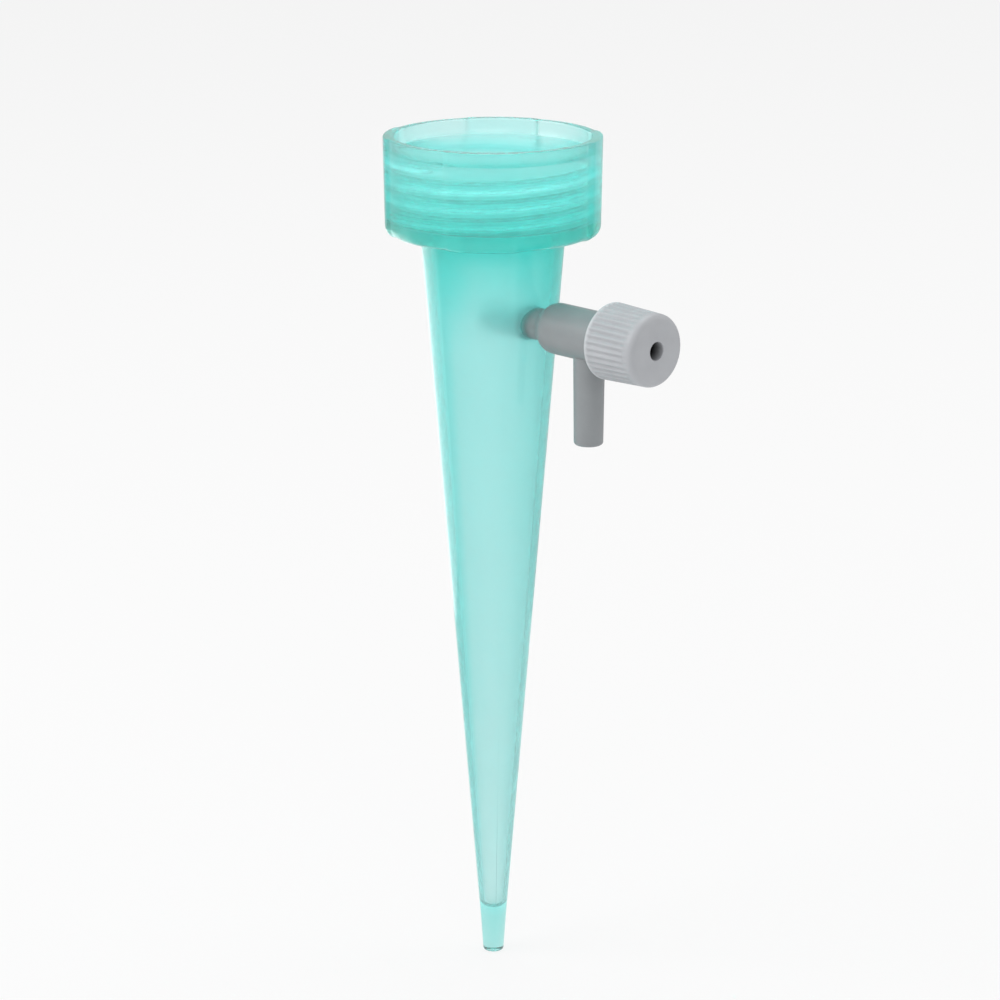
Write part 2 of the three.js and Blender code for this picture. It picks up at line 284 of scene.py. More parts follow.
def turned_between(form: BMesh, breaks: Sequence[float], widest: float, fewest: int) -> BMesh:
    """Turn an outline about Z with a column at each of some angles.

    Args:
        form: The outline, in the plane of X and Z.
        breaks: Angles in rising order, within one turn.
        widest: Largest angle of a step.
        fewest: Least number of steps between two breaks.

    Returns:
        The same mesh, closed.
    """
    bmesh.ops.rotate(form, cent=(0, 0, 0), matrix=Matrix.Rotation(breaks[0], 3, "Z"), verts=form.verts[:])
    last = form.verts[:] + form.edges[:]
    for start, end in zip(breaks, [*breaks[1:], breaks[0] + FULL_TURN]):
        last = spin(form, last, end - start, max(fewest, math.ceil((end - start) / widest)))
    return close_up(form)


def round_bar(radius: float, start: float, end: float) -> BMesh:
    """Round bar about Z between two heights."""
    corners = [Corner(0, start), Corner(radius, start), Corner(radius, end), Corner(0, end)]
    return turned(corners, BAR_COLUMNS)


def laid_along_x(form: BMesh, height: float) -> BMesh:
    """Lay a form about Z along +X, at a height. What was its +X side then points down."""
    place = Matrix.Translation((0, 0, height)) @ Matrix.Rotation(QUARTER_TURN, 4, "Y")
    bmesh.ops.transform(form, matrix=place, verts=form.verts[:])
    return form


@dataclass(frozen=True)
class ScrewRidge:
    """Right-hand helical ridge about Z that fades into its wall at both ends.

    Attributes:
        anchor: Radius at which the ridge is rooted.
        crest: Radius of its crest, inside or outside the anchor.
        surface: Radius of the wall that it stands on.
        rounding: Rounding of the crest's two edges, and of the roots where the flanks meet the wall.
        root_width: Width at the root.
        crest_width: Width at the crest.
        pitch: Climb for one turn.
        start: Height of its lower end.
        end: Height of its upper end.
        run_out: Angle over which it fades.
        steps_per_turn: Steps in one turn.
        round_steps: Edges in a rounded corner of its section.
    """

    anchor: float
    crest: float
    surface: float
    rounding: float
    root_width: float
    crest_width: float
    pitch: float
    start: float
    end: float
    run_out: float
    steps_per_turn: int = 64
    round_steps: int = 3

    def build(self) -> BMesh:
        """Sweep the ridge's section up its helix, from over +X.

        Returns:
            A closed mesh.
        """
        half_root, half_crest = self.root_width / 2, self.crest_width / 2
        foot = half_root + self.rounding
        toe = self.surface + (self.anchor - self.surface) * TOE_BITE
        section = [
            Corner(self.anchor, -foot),
            Corner(toe, -foot),
            Corner(self.surface, -half_root, self.rounding),
            Corner(self.crest, -half_crest, self.rounding),
            Corner(self.crest, half_crest, self.rounding),
            Corner(self.surface, half_root, self.rounding),
            Corner(toe, foot),
            Corner(self.anchor, foot),
        ]
        form = outline_of(section, closed=True, longest=self.pitch, round_steps=self.round_steps)
        climb = self.end - self.start
        turns = climb / self.pitch
        steps = math.ceil(turns * self.steps_per_turn)
        spin(form, form.verts[:] + form.edges[:], turns * FULL_TURN, steps, climb / steps)
        for vert in form.verts:
            self.fade(vert, turns)
        bmesh.ops.translate(form, vec=(0, 0, self.start), verts=form.verts[:])
        return close_up(form)

    def fade(self, vert: BMVert, turns: float) -> None:
        """Draw a vertex near either end of the ridge in towards its root.

        Args:
            vert: A vertex of the ridge, which starts at height 0 over +X.
            turns: Turns in the whole ridge.
        """
        part_turn = angle_of(vert) / FULL_TURN
        turn = round(vert.co.z / self.pitch - part_turn) + part_turn
        to_end = min(turn, turns - turn) * FULL_TURN
        size = min(max(to_end / self.run_out, 0.0), 1.0)
        middle = turn * self.pitch
        radius = math.hypot(vert.co.x, vert.co.y)
        push(vert, (1 - size) * (self.anchor - radius), (1 - size) * (middle - vert.co.z))


def raw_object(name: str, form: BMesh) -> Object:
    """Put a form in the scene.

    Args:
        name: Name of the object and its mesh.
        form: The form, which is freed.

    Returns:
        The new object.
    """
    mesh = bpy.data.meshes.new(name)
    form.to_mesh(mesh)
    form.free()
    made = bpy.data.objects.new(name, mesh)
    bpy.context.scene.collection.objects.link(made)
    return made


def combine(base: Object, cut: Cut, form: BMesh) -> None:
    """Join a shape to a piece, or take it away from it.

    Args:
        base: The piece, which gets the result as its mesh.
        cut: What to do.
        form: The tool shape, which is used up.
    """
    tool = raw_object("tool", form)
    modifier = base.modifiers.new(cut.name, "BOOLEAN")
    modifier.operation = cut.value
    modifier.solver = "EXACT"
    modifier.object = tool
    depsgraph = bpy.context.evaluated_depsgraph_get()
    result = bpy.data.meshes.new_from_object(base.evaluated_get(depsgraph), depsgraph=depsgraph)
    base.modifiers.clear()
    spent = [base.data, tool.data]
    base.data = result
    bpy.data.objects.remove(tool)
    for mesh in spent:
        bpy.data.meshes.remove(mesh)


def paint(made: Object, mark: Mark, share: Callable[[Vector], float]) -> None:
    """Set a mark's vertex layer by place, once the last cut is made.

    Args:
        made: The piece, in millimetres.
        mark: The mark.
        share: Gives the layer's value at a place.
    """
    values = [share(vert.co) for vert in made.data.vertices]
    made.data.attributes[mark.layer].data.foreach_set("value", values)


def hand_over(made: Object, node: str, body: str, material: Material) -> Object:
    """Bring a piece to metres, dress it and put it in the place of its node.

    Args:
        made: The piece, in millimetres.
        node: Node that it stands for.
        body: Body that it rides on.
        material: Its finish.

    Returns:
        The same object.
    """
    made.data.transform(Matrix.Scale(MM, 4))
    made.data.materials.clear()
    made.data.materials.append(material)
    made.data.shade_smooth()
    made.data.set_sharp_from_angle(angle=SMOOTH_ANGLE)
    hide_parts(node)
    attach(made, body)
    return made


def empty_sheet(block: Material | World) -> NodeTree:
    """Turn on the nodes of a new material or world, and take out those that come with it.

    Args:
        block: The material or world.

    Returns:
        Its empty sheet of nodes.
    """
    block.use_nodes = True
    block.node_tree.nodes.clear()
    return block.node_tree


class NodeSheet:
    """A new material's nodes, with short calls for the ones that the finishes share."""

    def __init__(self, name: str) -> None:
        """Start a material with a Principled shader, an output and Object coordinates."""
        self.material = bpy.data.materials.new(name)
        self.tree = empty_sheet(self.material)
        self.output = self.add("ShaderNodeOutputMaterial")
        self.shader = self.add("ShaderNodeBsdfPrincipled")
        self.join(self.shader.outputs["BSDF"], self.output.inputs["Surface"])
        self.place = self.add("ShaderNodeTexCoord").outputs["Object"]

    def add(self, kind: str) -> Node:
        """Add a node of a kind."""
        return self.tree.nodes.new(kind)

    def join(self, source: NodeSocket, target: NodeSocket) -> None:
        """Link an output to an input."""
        self.tree.links.new(source, target)

    def set_shader(self, values: dict[str, float]) -> None:
        """Set plain values on the shader's own sockets."""
        for socket, value in values.items():
            self.shader.inputs[socket].default_value = value

    def noise(self, feature: float, detail: float = 2.0) -> NodeSocket:
        """Noise on Object coordinates.

        Args:
            feature: Size of its features in millimetres.
            detail: Octaves.

        Returns:
            A value about 0.5.
        """
        node = self.add("ShaderNodeTexNoise")
        node.inputs["Scale"].default_value = 1 / (feature * MM)
        node.inputs["Detail"].default_value = detail
        self.join(self.place, node.inputs["Vector"])
        return node.outputs["Fac"]

    def height(self) -> NodeSocket:
        """Height over the tip, in millimetres."""
        node = self.add("ShaderNodeSeparateXYZ")
        self.join(self.place, node.inputs["Vector"])
        return self.spread(node.outputs["Z"], *WHOLE, (0.0, MM), clamp=False)

    def layer(self, mark: Mark) -> NodeSocket:
        """Value of a mark's vertex layer."""
        node = self.add("ShaderNodeAttribute")
        node.attribute_name = mark.layer
        return node.outputs["Fac"]

    def spread(
        self, source: NodeSocket, low: float, high: float, span: Span = WHOLE, clamp: bool = True,
    ) -> NodeSocket:
        """Map a span of a value to the range from low to high.

        Args:
            source: The value.
            low: Result at the start of the span.
            high: Result at its end.
            span: Start and end.
            clamp: Whether the result stays in the range.

        Returns:
            The mapped value.
        """
        node = self.add("ShaderNodeMapRange")
        node.clamp = clamp
        self.join(source, node.inputs["Value"])
        for socket, value in zip(("From Min", "From Max", "To Min", "To Max"), (*span, low, high)):
            node.inputs[socket].default_value = value
        return node.outputs["Result"]

    def math(self, operation: str, first: NodeSocket, second: NodeSocket) -> NodeSocket:
        """Work out a value from two others."""
        node = self.add("ShaderNodeMath")
        node.operation = operation
        self.join(first, node.inputs[0])
        self.join(second, node.inputs[1])
        return node.outputs[0]

    def mixed(
        self, share: NodeSocket, first: Colour | NodeSocket, second: Colour, blend: str = "MIX",
    ) -> NodeSocket:
        """Mix two colours by a value.

        Args:
            share: Share of the second colour.
            first: A colour, or a socket that gives one.
            second: The other colour.
            blend: Blender's own word for the kind of mix.

        Returns:
            The mixed colour.
        """
        node = self.add("ShaderNodeMix")
        node.data_type = "RGBA"
        node.blend_type = blend
        self.join(share, node.inputs["Factor"])
        first_input, second_input = (socket for socket in node.inputs if socket.type == "RGBA")
        second_input.default_value = (*second, 1)
        if isinstance(first, NodeSocket):
            self.join(first, first_input)
        else:
            first_input.default_value = (*first, 1)
        return next(socket for socket in node.outputs if socket.type == "RGBA")

    def relief(self, height: NodeSocket, depth: float, strength: float) -> None:
        """Give the surface a fine relief.

        Args:
            height: Height, from 0 to 1.
            depth: Depth of the relief in millimetres.
            strength: Share of it that shows.
        """
        node = self.add("ShaderNodeBump")
        node.inputs["Distance"].default_value = depth * MM
        node.inputs["Strength"].default_value = strength
        self.join(height, node.inputs["Height"])
        self.join(node.outputs["Normal"], self.shader.inputs["Normal"])


@dataclass(frozen=True)
class TealPlastic:
    """Translucent teal plastic, polished outside and duller where the core formed it.

    Attributes:
        thin_tint: Colour of its milkiness in the thin walls of the cone and the mouth.
        thick_shaded_tint: The same round the cup's floor, deeper where the plastic is thickest and with
            painted shade from the cup over the top of the cone.
        thick_low: Heights between which the tint deepens, from the cone to the floor.
        thick_high: Heights between which it pales again, from the floor to the mouth.
        floor_shade_tint: What the floor's corner takes off the tint, as painted shade in that corner.
        flank_shade_tint: What the cone's flanks take off the tint halfway between its mould seams, as
            painted shade on the cone's sides.
        tip_tint: What the solid tip takes off the tint.
        flow_marks: How far the flow marks shift one tint towards the other.
        passes: Colour that gets through the body of the plastic.
        density: How fast the rest is absorbed, for a metre.
        clearness: Share of the light at a surface that passes it, or is mirrored.
        polish: Least roughness outside.
        unevenness: How much rougher it is in places.
        cup_dullness: Roughness added from the top of the cone up.
        core_dullness: Roughness added inside.
        bending: Index of refraction.
        flow_size: Size of the flow marks.
        flow_detail: Octaves of the flow marks.
        uneven_size: Size of the rougher places.
        ripple_size: Size of the faint ripples outside and inside.
        ripple_depth: Depth of the ripples.
        ripple_strength: Share of the ripples that shows.
    """

    thin_tint: Colour = (0.975, 0.995, 0.99)
    thick_shaded_tint: Colour = (0.42, 0.94, 0.90)
    thick_low: Span = (104.5, 119.0)
    thick_high: Span = (118.5, 130.5)
    floor_shade_tint: Colour = (0.12, 0.80, 0.78)
    flank_shade_tint: Colour = (0.50, 0.98, 0.965)
    tip_tint: Colour = (1.0, 0.86, 0.85)
    flow_marks: float = 0.06
    passes: Colour = (0.05, 0.965, 0.95)
    density: float = 310.0
    clearness: float = 0.9
    polish: float = 0.07
    unevenness: float = 0.03
    cup_dullness: float = 0.15
    core_dullness: float = 0.55
    bending: float = 1.49
    flow_size: float = 9.0
    flow_detail: float = 3.0
    uneven_size: float = 1.6
    ripple_size: float = 2.5
    ripple_depth: float = 0.02
    ripple_strength: float = 0.25

    def material(self) -> Material:
        """Lay out the nodes.

        Returns:
            The material.
        """
        sheet = NodeSheet("teal_plastic")
        sheet.set_shader({"IOR": self.bending, "Transmission Weight": self.clearness})
        height = sheet.height()
        over_cone = sheet.spread(height, 0.0, 1.0, self.thick_low)
        under_mouth = sheet.spread(height, 1.0, 0.0, self.thick_high)
        # Thicker plastic and painted shade from the cup, together in one tint
        thickness = sheet.math("MINIMUM", over_cone, under_mouth)
        marks = sheet.noise(self.flow_size, self.flow_detail)
        flow = sheet.spread(marks, -self.flow_marks, self.flow_marks, NOISE_SPAN)
        tint = sheet.mixed(sheet.math("ADD", thickness, flow), self.thin_tint, self.thick_shaded_tint)
        # Painted shade in the floor's corner and on the cone's flanks, and the solid tip's own tint
        places = ((Mark.FLOOR, self.floor_shade_tint), (Mark.FLANK_SHADE, self.flank_shade_tint), (Mark.TIP, self.tip_tint))
        for mark, taken in places:
            tint = sheet.mixed(sheet.layer(mark), tint, taken, "MULTIPLY")
        sheet.join(tint, sheet.shader.inputs["Base Color"])
        patches = sheet.noise(self.uneven_size)
        uneven = sheet.spread(patches, self.polish, self.polish + self.unevenness, NOISE_CORE)
        satin = sheet.spread(over_cone, 0.0, self.cup_dullness)
        dull = sheet.spread(sheet.layer(Mark.CORE), 0.0, self.core_dullness)
        roughness = sheet.math("ADD", sheet.math("ADD", uneven, satin), dull)
        sheet.join(roughness, sheet.shader.inputs["Roughness"])
        sheet.relief(sheet.noise(self.ripple_size, ONE_OCTAVE), self.ripple_depth, self.ripple_strength)
        body = sheet.add("ShaderNodeVolumeAbsorption")
        body.inputs["Color"].default_value = (*self.passes, 1)
        body.inputs["Density"].default_value = self.density
        sheet.join(body.outputs["Volume"], sheet.output.inputs["Volume"])
        return sheet.material


@dataclass(frozen=True)
class SolidPlastic:
    """Opaque satin plastic or rubber with faint mottling and a fine moulded grain.

    Attributes:
        name: Name of the material.
        shade: Its main colour.
        mottle: Colour of its paler mottling.
        sheen_low: Least roughness.
        sheen_high: Most roughness.
        grain: Size of the grain.
        grain_depth: Depth of the grain.
        grain_strength: Share of the grain that shows.
        crest_wear: How much paler the rubbed crests of ribs are, as a share of the mottling.
        rubbed: Span of a rib's height over which the wear grows.
        painted: Marks whose places get a colour painted over the rest, and that colour; on the greys these
            are painted light and shade.
        bending: Index of refraction.
        mottle_size: Size of the mottling.
        mottle_detail: Octaves of the mottling.
    """

    name: str
    shade: Colour
    mottle: Colour
    sheen_low: float = 0.38
    sheen_high: float = 0.5
    grain: float = 0.22
    grain_depth: float = 0.012
    grain_strength: float = 0.5
    crest_wear: float = 0.0
    rubbed: Span = (0.5, 1.0)
    painted: tuple[tuple[Mark, Colour], ...] = ()
    bending: float = 1.5
    mottle_size: float = 3.5
    mottle_detail: float = 3.0

    def material(self) -> Material:
        """Lay out the nodes.

        Returns:
            The material.
        """
        sheet = NodeSheet(self.name)
        sheet.set_shader({"IOR": self.bending})
        cloudy = sheet.spread(sheet.noise(self.mottle_size, self.mottle_detail), *WHOLE, NOISE_SPAN)
        worn = sheet.spread(sheet.layer(Mark.RIB), 0.0, self.crest_wear, self.rubbed)
        share = sheet.math("ADD", cloudy, worn)
        colour = sheet.mixed(share, self.shade, self.mottle)
        # Painted light and shade at marked places
        for mark, own_colour in self.painted:
            colour = sheet.mixed(sheet.layer(mark), colour, own_colour)
        sheet.join(colour, sheet.shader.inputs["Base Color"])
        grain = sheet.noise(self.grain, ONE_OCTAVE)
        sheen = sheet.spread(grain, self.sheen_low, self.sheen_high, NOISE_SPAN)
        sheet.join(sheen, sheet.shader.inputs["Roughness"])
        sheet.relief(grain, self.grain_depth, self.grain_strength)
        return sheet.material


TEAL_PLASTIC = TealPlastic()
# Darker than the knob's grey, partly as painted shade from the cone and cup over the valve body; the
# nipple's pale teal is painted light
VALVE_SHADED_GREY = SolidPlastic(
    "valve_grey_shaded", (0.228, 0.243, 0.252), (0.250, 0.266, 0.275),
    painted=((Mark.NIPPLE_LIGHT, (0.24, 0.60, 0.60)),),
)
# Painted shade deep in the knob's hole, and a painted highlight on the bead at its back
KNOB_GREY = SolidPlastic(
    "knob_grey", (0.365, 0.375, 0.395), (0.395, 0.407, 0.427), crest_wear=0.8,
    painted=((Mark.HOLE, (0.02, 0.02, 0.021)), (Mark.BEAD_HIGHLIGHT, (0.50, 0.515, 0.535))),
)
DARK_PLASTIC = SolidPlastic("dark_plastic", (0.030, 0.031, 0.032), (0.038, 0.039, 0.041))
BLACK_RUBBER = SolidPlastic(
    "black_rubber", (0.012, 0.012, 0.014), (0.022, 0.022, 0.024), sheen_low=0.6, sheen_high=0.75,
)


@dataclass(frozen=True)
class ValveLine:
    """Places along the valve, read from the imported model.

    Attributes:
        axis: Height of the valve's axis.
        nipple_end: Inner end of the valve body.
        threaded_end: Outer end of the valve body.
        spout_end: Height of the spout's end.
        knob_back: Open end of the knob.
        knob_face: Closed end of the knob.
        needle_tip: Inner end of the needle.
        needle_end: Outer end of the needle.
        ring_back: Inner side of the seal ring.
        ring_front: Outer side of the seal ring.
    """

    axis: float
    nipple_end: float
    threaded_end: float
    spout_end: float
    knob_back: float
    knob_face: float
    needle_tip: float
    needle_end: float
    ring_back: float
    ring_front: float

    @classmethod
    def from_frame(cls) -> "ValveLine":
        """Read the places.

        Returns:
            The places in millimetres.
        """
        swivel = next(joint for joint in frame["joints"] if joint["name"] == "valve_swivel")
        low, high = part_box("valve_body")
        ends = [low.x, high.x, low.z]
        for node in ("valve_knob", "needle_stem", "stem_o_ring"):
            ends += [corner.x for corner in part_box(node)]
        return cls(*(place / MM for place in (swivel["pos_m"][2], *ends)))


@dataclass
class Spike:
    """Cup, cone and tip, moulded in one piece of teal plastic.

    Attributes:
        line: Places along the valve.
        height: Tip to rim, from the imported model.
    """

    line: ValveLine
    height: float = field(default_factory=lambda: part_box("spike_body")[1].z / MM)

    # Cup
    mouth_radius: float = 14.85
    mouth_depth: float = 2.3
    mouth_slope: float = 0.8
    cup_radius: float = 16.5
    cup_draft: float = 0.25
    cup_depth: float = 15.0
    cup_edge: float = 1.5
    floor_thickness: float = 2.4
    thread_root: float = 14.4
    rim_edge: float = 0.22
    inner_fillet: float = 0.5

    # Grip pads, and the recesses between them
    grip_pads: int = 4
    pad_angle: float = math.radians(40)
    grip_step: float = 0.5
    grip_low_share: float = 0.6  # of that step, at the cup's lower edge
    grip_foot: float = 0.12  # the step on the underside
    grip_inset: float = 1.2  # from the cone to where the pads begin on the underside
    pad_centre: float = math.radians(-49)
    pad_slope: float = math.radians(5.5)

    # Bottle thread
    thread_pitch: float = 2.7
    thread_height: float = 1.1
    thread_root_width: float = 2.3
    thread_crest_width: float = 0.3
    thread_end: float = math.radians(-60)
    thread_run_out: float = math.radians(40)
    thread_step: float = 0.12  # rows of the wall that it is raised from

    # Cone and tip
    cone_top: float = 10.95
    cone_top_wall: float = 1.45
    cone_fillet: float = 0.4
    core_end_radius: float = 1.45
    core_end_rounding: float = 1.2
    tip_length: float = 6.4
    tip_neck: float = 2.05
    tip_radius: float = 1.6
    tip_rounding: float = 0.35
    core_to_tip: float = 1.2

    # Port for the valve
    port_radius: float = 2.38

    # Mould seams
    seam_angle: float = math.radians(-33)
    seam_width: float = math.radians(0.9)
    seam_height: float = 0.035

    # Where the painted shade on the flanks and in the floor's corner begins and ends
    narrow_flank: Span = (0.72, 1.0)  # sine of the angle from a seam, on most of the cone
    wide_flank: Span = (0.4, 0.95)  # the same just below the cup
    flank_rise: Span = (98.0, 111.0)  # heights between which the flanks widen
    flank_fade: float = 0.8
    flank_at_tip: float = 0.45
    floor_fade: float = 3.2
    floor_beside_pad: float = 0.65

    # Mesh
    longest_edge: float = 3.0
    round_steps: int = 6
    widest_step: float = math.radians(1.6)
    steps_in_slope: int = 6

    @property
    def pad_underside(self) -> float:
        """Height of the underside of the grip pads."""
        return self.height - self.cup_depth

    @property
    def cup_underside(self) -> float:
        """Height of the cup's underside between the pads."""
        return self.pad_underside + self.grip_foot

    @property
    def floor(self) -> float:
        """Height of the ledge for the bottle's lip."""
        return self.pad_underside + self.floor_thickness

    @property
    def pad_spacing(self) -> float:
        """Angle from one pad's middle to the next."""
        return FULL_TURN / self.grip_pads

    @property
    def thread_top(self) -> float:
        """Height at which the wall widens to the plain mouth."""
        return self.height - self.mouth_depth - (self.mouth_radius - self.thread_root)

    @property
    def core_end(self) -> float:
        """Height of the end of the cone's bore."""
        return self.tip_length + self.core_to_tip

    @property
    def core_top(self) -> float:
        """Radius of the cone's bore at the floor."""
        return self.cone_top - self.cone_top_wall

    def cone_at(self, height: float) -> float:
        """Outside radius of the cone at a height."""
        return between(height, self.tip_length, self.cup_underside, self.tip_neck, self.cone_top)

    def outline(self) -> list[Corner]:
        """Outline from the tip up the outside, over the rim and down the inside.

        Returns:
            Corners in order.
        """
        foot = self.cone_top + self.grip_inset
        low_edge = Mark.GRIP_WALL | Mark.GRIP_FOOT
        mouth_floor = self.height - self.mouth_depth
        return [
            Corner(0, 0),
            Corner(self.tip_radius, 0, self.tip_rounding),
            Corner(self.tip_neck, self.tip_length, self.tip_rounding, Mark.SEAM),
            Corner(self.cone_top, self.cup_underside, self.cone_fillet, Mark.SEAM),
            Corner(foot, self.cup_underside),
            Corner(foot + self.grip_foot, self.pad_underside, mark=Mark.GRIP_FOOT),
            Corner(self.cup_radius - self.cup_draft, self.pad_underside, self.cup_edge, low_edge),
            Corner(self.cup_radius, self.height, self.rim_edge, Mark.GRIP_WALL),
            Corner(self.mouth_radius, self.height, self.rim_edge),
            Corner(self.mouth_radius, mouth_floor + self.mouth_slope, self.inner_fillet),
            Corner(self.thread_root, self.thread_top, self.inner_fillet, Mark.THREAD),
            Corner(self.thread_root, self.floor, self.inner_fillet, Mark.THREAD),
            Corner(self.core_top, self.floor, self.inner_fillet),
            Corner(self.core_end_radius, self.core_end, self.core_end_rounding),
            Corner(0, self.core_end),
        ]

    def breaks(self) -> list[float]:
        """Angles of the pads' edges and of the mould seams.

        Returns:
            Angles in rising order, within one turn.
        """

        def sides(middles: Sequence[float], width: float) -> list[float]:
            """Angles half a width to either side of each middle."""
            return [middle + half for middle in middles for half in (-width / 2, width / 2)]

        pads = [self.pad_centre + index * self.pad_spacing for index in range(self.grip_pads)]
        seams = [self.seam_angle, self.seam_angle + math.pi]
        angles = sides(sides(pads, self.pad_angle), self.pad_slope) + sides(seams, self.seam_width)
        return sorted(angle % FULL_TURN for angle in angles)

    def pad_share(self, angle: float) -> float:
        """1 on a pad, 0 on a recess, and a smooth slope between them."""
        half_spacing, half_pad = self.pad_spacing / 2, self.pad_angle / 2
        off = abs((angle - self.pad_centre + half_spacing) % self.pad_spacing - half_spacing)
        return 1 - slope(off, half_pad - self.pad_slope / 2, half_pad + self.pad_slope / 2)

    def step_at(self, height: float) -> float:
        """How far a recess lies behind the pads at a height."""
        share = between(height, self.pad_underside, self.height, self.grip_low_share, 1)
        return self.grip_step * share

    def seam_share(self, angle: float) -> float:
        """1 on either mould seam, and 0 beside it."""
        off = abs((angle - self.seam_angle + QUARTER_TURN) % math.pi - QUARTER_TURN)
        return 1 - slope(off, 0, self.seam_width / 2)

    def core_share(self, place: Vector) -> float:
        """1 on the surfaces that the mould's core formed, and 0 on the rest.

        Args:
            place: A place on the surface.

        Returns:
            The share.
        """
        radius = math.hypot(place.x, place.y)
        if place.z > self.height - self.mouth_depth:
            return 0.0
        if place.z > self.floor - self.inner_fillet:
            return float(radius < self.thread_root + BITE)
        core = between(place.z, self.core_end, self.floor, self.core_end_radius, self.core_top)
        return float(place.z > self.core_end - BITE and radius < (core + self.cone_at(place.z)) / 2)

    def flank_shade_share(self, place: Vector) -> float:
        """1 on the cone's flanks, which are wide just below the cup, and 0 near its mould seams.

        Args:
            place: A place on the surface.

        Returns:
            The share of painted shade, which is less towards the tip.
        """
        aside = abs(math.sin(math.atan2(place.y, place.x) - self.seam_angle))
        narrow, wide = slope(aside, *self.narrow_flank), slope(aside, *self.wide_flank)
        below = 1 - slope(place.z, self.pad_underside - self.flank_fade, self.pad_underside)
        depth = between(place.z, 0, self.pad_underside, self.flank_at_tip, 1)
        return below * depth * between(slope(place.z, *self.flank_rise), 0, 1, narrow, wide)

    def thread_share(self, vert: BMVert) -> float:
        """How far the bottle's thread rises at a place on the wall, as a share of its height.

        The thread is right-handed. It runs from just above the floor to the plain mouth, and fades into
        the wall at both ends.

        Args:
            vert: A vertex of the wall, before the thread is raised.

        Returns:
            The share.
        """
        low, high = self.floor + self.thread_root_width / 2, self.thread_top
        turn = (vert.co.z - high) / self.thread_pitch - (angle_of(vert) - self.thread_end) / FULL_TURN
        off = (turn - round(turn)) * self.thread_pitch
        crest = vert.co.z - off
        to_end = min(crest - low, high - crest) / self.thread_pitch * FULL_TURN
        size = slope(to_end, 0, self.thread_run_out)
        return size * (1 - slope(abs(off), self.thread_crest_width / 2, self.thread_root_width / 2))

    def tip_share(self, place: Vector) -> float:
        """1 on the solid tip, and 0 over it."""
        return 1 - slope(place.z, self.tip_length, self.core_end)

    def floor_shade_share(self, place: Vector) -> float:
        """1 on the floor at a pad, less beside the pad, and 0 outside and away from the floor.

        Args:
            place: A place on the surface.

        Returns:
            The share of painted shade in the floor's corner.
        """
        if math.hypot(place.x, place.y) > self.thread_root + BITE:
            return 0.0
        low = slope(place.z, self.pad_underside - self.flank_fade, self.pad_underside)
        high = 1 - slope(place.z, self.floor, self.floor + self.floor_fade)
        pad = self.pad_share(math.atan2(place.y, place.x))
        return low * high * between(pad, 0, 1, self.floor_beside_pad, 1)

    def shell(self) -> BMesh:
        """Turn the outline, then set back the recesses and raise the seams and the thread.

        Returns:
            A closed mesh.
        """
        outline = outline_of(self.outline(), False, self.longest_edge, self.round_steps)
        thread = outline.verts.layers.float[Mark.THREAD.layer]
        for edge in outline.edges[:]:
            if all(vert[thread] for vert in edge.verts):
                cuts = math.ceil(edge.calc_length() / self.thread_step) - 1
                bmesh.ops.subdivide_edges(outline, edges=[edge], cuts=cuts)
        form = turned_between(outline, self.breaks(), self.widest_step, self.steps_in_slope)
        wall, foot, seam, thread = (
            form.verts.layers.float[mark.layer]
            for mark in (Mark.GRIP_WALL, Mark.GRIP_FOOT, Mark.SEAM, Mark.THREAD)
        )
        for vert in form.verts:
            angle = angle_of(vert)
            recess = 1 - self.pad_share(angle)
            inwards = self.step_at(vert.co.z) * recess * vert[wall]
            if vert[thread]:
                inwards += self.thread_height * self.thread_share(vert)
            ridge = self.seam_height * self.seam_share(angle) * vert[seam]
            push(vert, ridge - inwards, self.grip_foot * recess * vert[foot])
        return form

    def build(self) -> list[Object]:
        """Build and dress the spike.

        Returns:
            Its one piece.
        """
        face = self.cone_at(self.line.axis)
        port = round_bar(self.port_radius, face / 2, face + OVERSHOOT)
        made = raw_object("spike_moulding", self.shell())
        combine(made, Cut.TAKE_AWAY, laid_along_x(port, self.line.axis))
        # Painted shade goes on the flanks and in the floor's corner
        shares = {
            Mark.CORE: self.core_share,
            Mark.FLANK_SHADE: self.flank_shade_share,
            Mark.FLOOR: self.floor_shade_share,
            Mark.TIP: self.tip_share,
        }
        for mark, share in shares.items():
            paint(made, mark, share)
        return [hand_over(made, "spike_body", "spike", TEAL_PLASTIC.material())]


